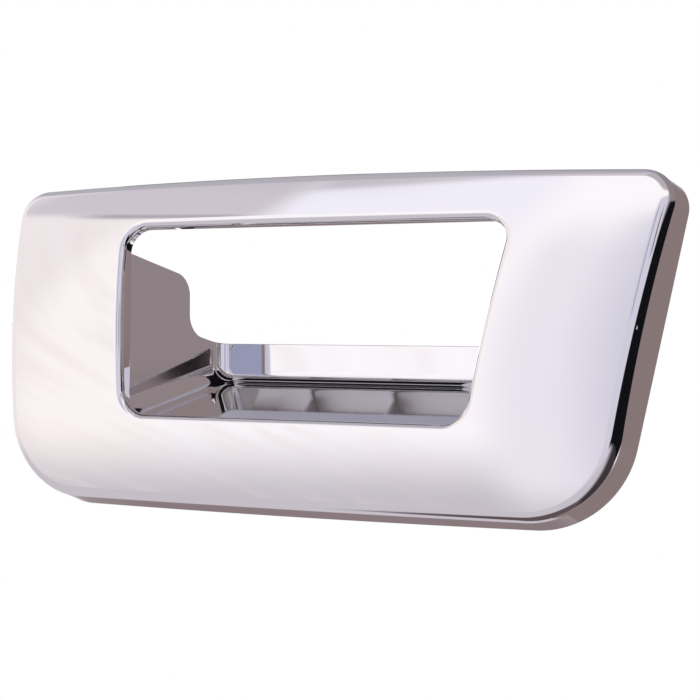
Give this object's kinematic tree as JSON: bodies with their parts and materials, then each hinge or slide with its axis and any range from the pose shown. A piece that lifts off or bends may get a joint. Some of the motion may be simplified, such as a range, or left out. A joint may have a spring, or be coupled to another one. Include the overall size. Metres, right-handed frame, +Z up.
{
  "type": "tailgate handle bezel",
  "caption": "Chrome-plated moulded surround: a crowned face with a wide window, and behind it a stepped hand pocket whose floor rises to the rear, to trim a tailgate handle.",
  "frame": {"origin": "midway between the two screw bosses, in the seat plane where the rear rim meets the tailgate skin", "axes": "+X runs along the long side, to the right of someone who looks at the face; +Y points into the tailgate, along the screws; +Z is up"},
  "size_m": [0.2948, 0.0708, 0.138],
  "materials": {
    "chrome_plating": "mirror-bright plating over moulded plastic"
  },
  "bodies": {
    "root": {"handle_bezel": "chrome_plating"}
  },
  "joints": []
}
